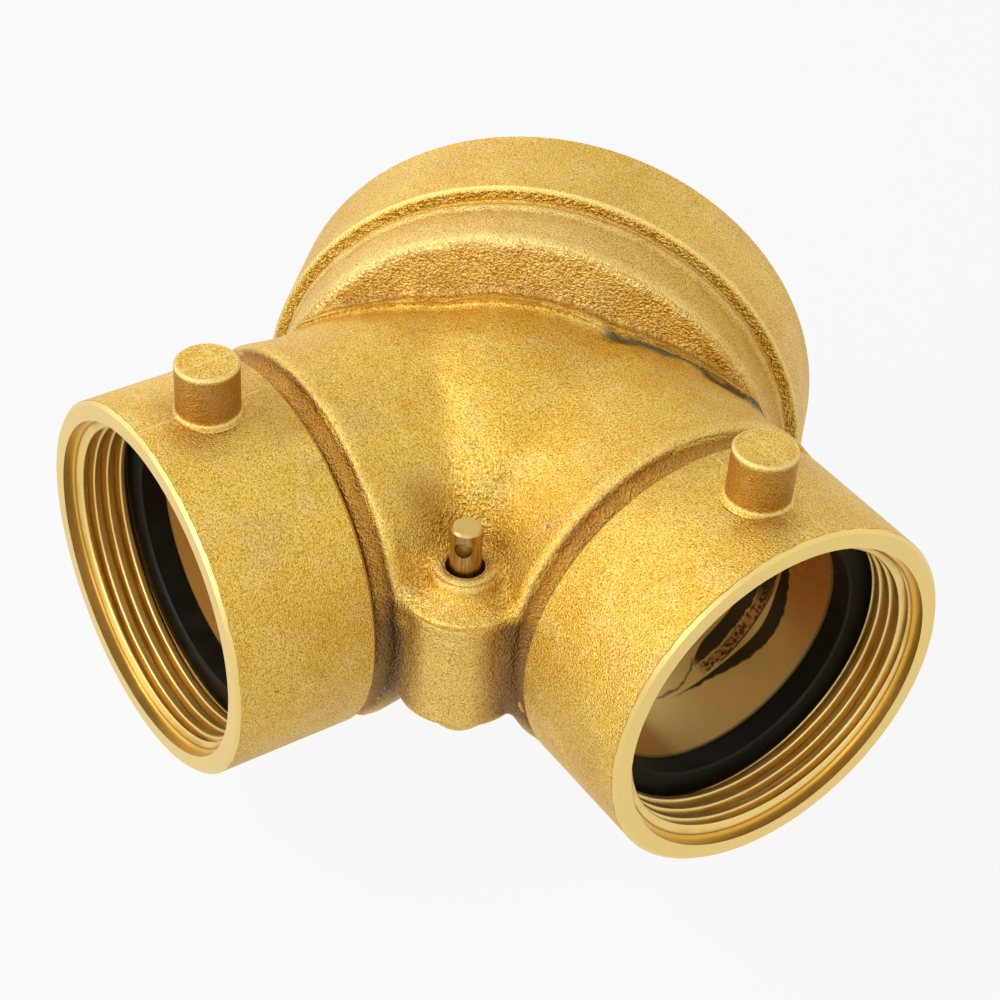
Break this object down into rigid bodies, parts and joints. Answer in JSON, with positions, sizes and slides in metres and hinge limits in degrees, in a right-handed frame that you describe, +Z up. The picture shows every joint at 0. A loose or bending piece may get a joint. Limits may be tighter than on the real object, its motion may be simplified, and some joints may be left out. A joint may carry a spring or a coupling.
{
  "type": "fire department connection",
  "caption": "Cast brass breeching with a threaded outlet, free-turning pin-lug hose swivels and a swing clapper on an upright hinge pin.",
  "frame": {"origin": "centre of the outlet's rear face, on the outlet's axis", "axes": "+Y out of the outlet, the inlets towards -Y and 45 degrees to each side, +Z up along the hinge pin"},
  "size_m": [0.2058, 0.1391, 0.133],
  "materials": {
    "cast_brass": "sand cast and blasted",
    "turned_brass": "machined and lightly blasted",
    "pin_brass": "drawn rod, dull",
    "rubber": "matte",
    "ball_steel": "stainless steel, polished"
  },
  "bodies": {
    "body": {"body": "cast_brass", "hinge_pin": "pin_brass", "pin_seal": "rubber", "left_race_balls": "ball_steel", "right_race_balls": "ball_steel"},
    "left_swivel": {"left_swivel": "turned_brass", "left_gasket": "rubber", "left_race_screw": "turned_brass"},
    "right_swivel": {"right_swivel": "turned_brass", "right_gasket": "rubber", "right_race_screw": "turned_brass"},
    "clapper": {"clapper": "cast_brass", "left_facing": "rubber", "right_facing": "rubber", "left_facing_plate": "turned_brass", "right_facing_plate": "turned_brass", "clapper_bolt": "turned_brass", "clapper_washer": "turned_brass", "clapper_nut": "turned_brass"}
  },
  "joints": [
    {"name": "left_swivel_spin", "type": "hinge", "parent": "body", "child": "left_swivel", "pos_m": [0, -0.0362, 0], "axis": [-0.7071, -0.7071, 0], "continuous": true},
    {"name": "right_swivel_spin", "type": "hinge", "parent": "body", "child": "right_swivel", "pos_m": [0, -0.0362, 0], "axis": [0.7071, -0.7071, 0], "continuous": true},
    {"name": "clapper_swing", "type": "hinge", "parent": "body", "child": "clapper", "pos_m": [0, -0.1022, 0], "axis": [0, 0, -1], "range_deg": [0, 90]}
  ]
}
